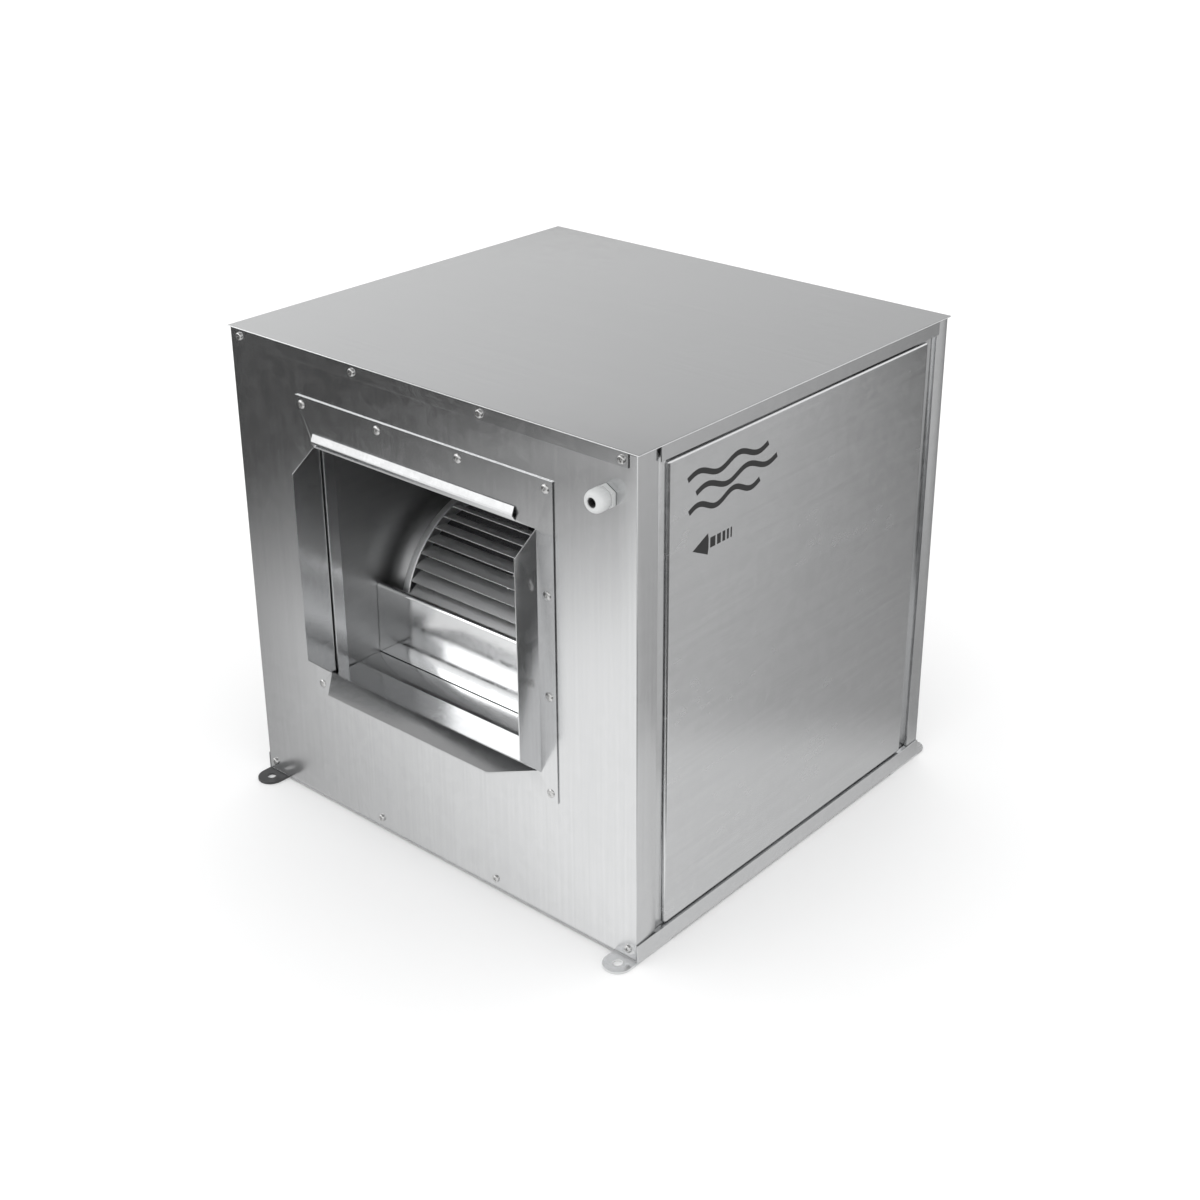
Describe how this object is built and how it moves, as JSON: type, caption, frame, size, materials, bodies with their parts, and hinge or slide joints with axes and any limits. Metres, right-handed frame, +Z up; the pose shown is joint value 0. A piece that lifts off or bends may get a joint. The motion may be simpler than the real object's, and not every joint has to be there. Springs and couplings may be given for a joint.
{
  "type": "cabinet duct fan",
  "caption": "Galvanised sheet-steel cabinet with a double-inlet centrifugal blower inside, a flapped outlet frame, corner feet and a cable gland.",
  "frame": {"origin": "on the floor, under the middle of the cabinet", "axes": "+Z up; the air leaves along -Y through the front and enters at the rear (+Y); the wheel's axis lies along X; the cable gland is at the top right (+X) of the front"},
  "size_m": [0.542, 0.5518, 0.5228],
  "materials": {
    "zinc": "bright galvanised sheet, faint rolling grain",
    "zinc_dull": "dull galvanised sheet",
    "turned_steel": "bright turned steel",
    "motor_paint": "dark grey satin paint",
    "black_rubber": "matt black rubber",
    "dark_foam": "open-cell sound-absorbing foam",
    "pale_nylon": "pale grey moulded nylon",
    "grey_plastic": "mid grey moulded plastic"
  },
  "bodies": {
    "cabinet": {"base_pan": "zinc", "top_cover": "zinc", "front_panel": "zinc", "rear_panel": "zinc", "outlet_frame": "zinc", "inlet_frame": "zinc", "foot_front_left": "zinc", "foot_front_right": "zinc", "foot_rear_left": "zinc", "foot_rear_right": "zinc", "outlet_flange": "zinc", "cutoff_plate": "zinc", "outlet_sill": "zinc", "inlet_ring_left": "zinc", "inlet_ring_right": "zinc", "blower_foot_left": "zinc", "blower_foot_right": "zinc", "motor_band": "zinc", "motor_arm_1": "zinc", "motor_arm_2": "zinc", "motor_arm_3": "zinc", "capacitor_clip": "zinc", "scroll_side_left": "zinc_dull", "scroll_side_right": "zinc_dull", "scroll_wrap": "zinc_dull", "bearing_inner": "turned_steel", "bearing_outer": "turned_steel", "motor_body": "motor_paint", "motor_end_inner": "motor_paint", "motor_end_outer": "motor_paint", "outlet_gasket": "black_rubber", "gland_seal": "black_rubber", "rubber_mount_front_left": "black_rubber", "rubber_mount_front_right": "black_rubber", "rubber_mount_rear_left": "black_rubber", "rubber_mount_rear_right": "black_rubber", "arm_bush_1": "black_rubber", "arm_bush_2": "black_rubber", "arm_bush_3": "black_rubber", "motor_lead": "black_rubber", "foam_top": "dark_foam", "gland_body": "pale_nylon", "gland_nut": "pale_nylon", "gland_locknut": "pale_nylon", "capacitor": "pale_nylon", "terminal_box": "grey_plastic", "terminal_box_lid": "grey_plastic"},
    "rotor": {"impeller_blades": "zinc_dull", "impeller_ring_left": "zinc_dull", "impeller_ring_right": "zinc_dull", "impeller_disc": "zinc_dull", "impeller_hub": "turned_steel", "hub_set_screw": "turned_steel", "motor_shaft": "turned_steel"},
    "panel_left": {"side_panel_left": "zinc", "foam_left": "dark_foam"},
    "panel_right": {"side_panel_right": "zinc", "foam_right": "dark_foam"}
  },
  "joints": [
    {"name": "rotor_spin", "type": "hinge", "parent": "cabinet", "child": "rotor", "pos_m": [0, -0.048, 0.2048], "axis": [1, 0, 0], "continuous": true},
    {"name": "panel_left_off", "type": "slide", "parent": "cabinet", "child": "panel_left", "axis": [-1, 0, 0], "range_m": [0, 0.12]},
    {"name": "panel_right_off", "type": "slide", "parent": "cabinet", "child": "panel_right", "axis": [1, 0, 0], "range_m": [0, 0.12]}
  ]
}
